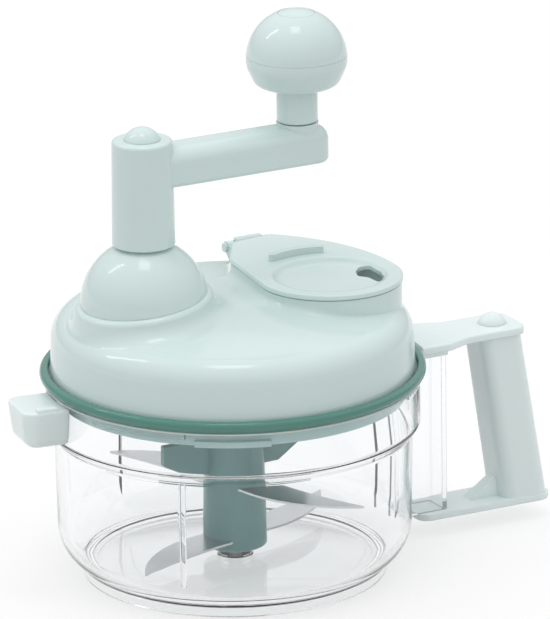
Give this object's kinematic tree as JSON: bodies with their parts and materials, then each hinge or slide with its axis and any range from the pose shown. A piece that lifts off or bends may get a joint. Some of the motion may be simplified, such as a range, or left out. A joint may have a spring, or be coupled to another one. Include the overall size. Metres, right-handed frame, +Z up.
{
  "type": "hand-crank food chopper",
  "caption": "Hand-crank food chopper: clear handled bowl, mint lid with gear housing, crank and knob, hinged feed cover, splash ring and geared blades.",
  "frame": {"origin": "on the bowl's axis, at the height of the table under its foot", "axes": "+Z up along the bowl's axis, +X towards the handle, +Y towards the hinge of the feed cover"},
  "size_m": [0.2473, 0.1636, 0.2415],
  "materials": {
    "mint": "glossy moulded plastic",
    "clear_plastic": "clear moulded plastic",
    "dark_green": "dark translucent green plastic",
    "blade_green": "glossy moulded plastic",
    "seal_white": "soft white seal",
    "gear_white": "plain moulded nylon",
    "steel": "plain steel",
    "blade_steel": "ground steel"
  },
  "bodies": {
    "bowl": {"bowl": "clear_plastic", "bowl_pivot_pin": "steel", "handle_grip": "mint", "handle_top_plate": "mint", "handle_screw": "steel", "handle_button": "mint", "tab_cap": "mint"},
    "seal": {"rim_seal": "seal_white"},
    "lid": {"inner_lid": "dark_green", "lid_shell": "mint", "gear_dome": "mint", "lid_screws": "steel", "pinion_bush": "gear_white", "shaft_bush_lower": "gear_white", "shaft_bush_upper": "gear_white", "hinge_pin": "mint"},
    "crank": {"crank_arm": "mint", "crank_screw": "steel", "crank_washer": "steel", "crank_cap": "mint", "crank_shaft": "steel", "shaft_clip": "steel", "drive_gear": "gear_white", "knob_pin": "steel", "knob_clip": "steel"},
    "knob": {"knob_stem": "mint", "knob_lower": "mint", "knob_upper": "mint", "knob_cap": "mint"},
    "rotor": {"pinion_gear": "gear_white", "blade_spindle": "steel", "blade_hub": "blade_green", "blade_lower": "blade_steel", "blade_upper": "blade_steel", "pivot_bush": "gear_white"},
    "cover": {"feed_cover": "mint"}
  },
  "joints": [
    {"name": "lid_lift", "type": "slide", "parent": "bowl", "child": "seal", "axis": [0, 0, 1], "range_m": [0, 0.09]},
    {"name": "lid_twist", "type": "hinge", "parent": "seal", "child": "lid", "pos_m": [0, 0, 0.0855], "axis": [0, 0, 1], "range_deg": [-28, 0]},
    {"name": "crank_turn", "type": "hinge", "parent": "lid", "child": "crank", "pos_m": [-0.04125, 0, 0.15], "axis": [0, 0, 1], "continuous": true},
    {"name": "knob_spin", "type": "hinge", "parent": "crank", "child": "knob", "pos_m": [0.03225, 0, 0.2], "axis": [0, 0, 1], "continuous": true},
    {"name": "blade_spin", "type": "hinge", "parent": "lid", "child": "rotor", "pos_m": [0, 0, 0.05], "axis": [0, 0, 1], "continuous": true},
    {"name": "cover_hinge", "type": "hinge", "parent": "lid", "child": "cover", "pos_m": [0.0365, 0.055, 0.1232], "axis": [-1, 0, 0], "range_deg": [0, 33]}
  ],
  "couplings": [
    {"joint": "blade_spin", "follows": "crank_turn", "ratio": -2.6667}
  ]
}
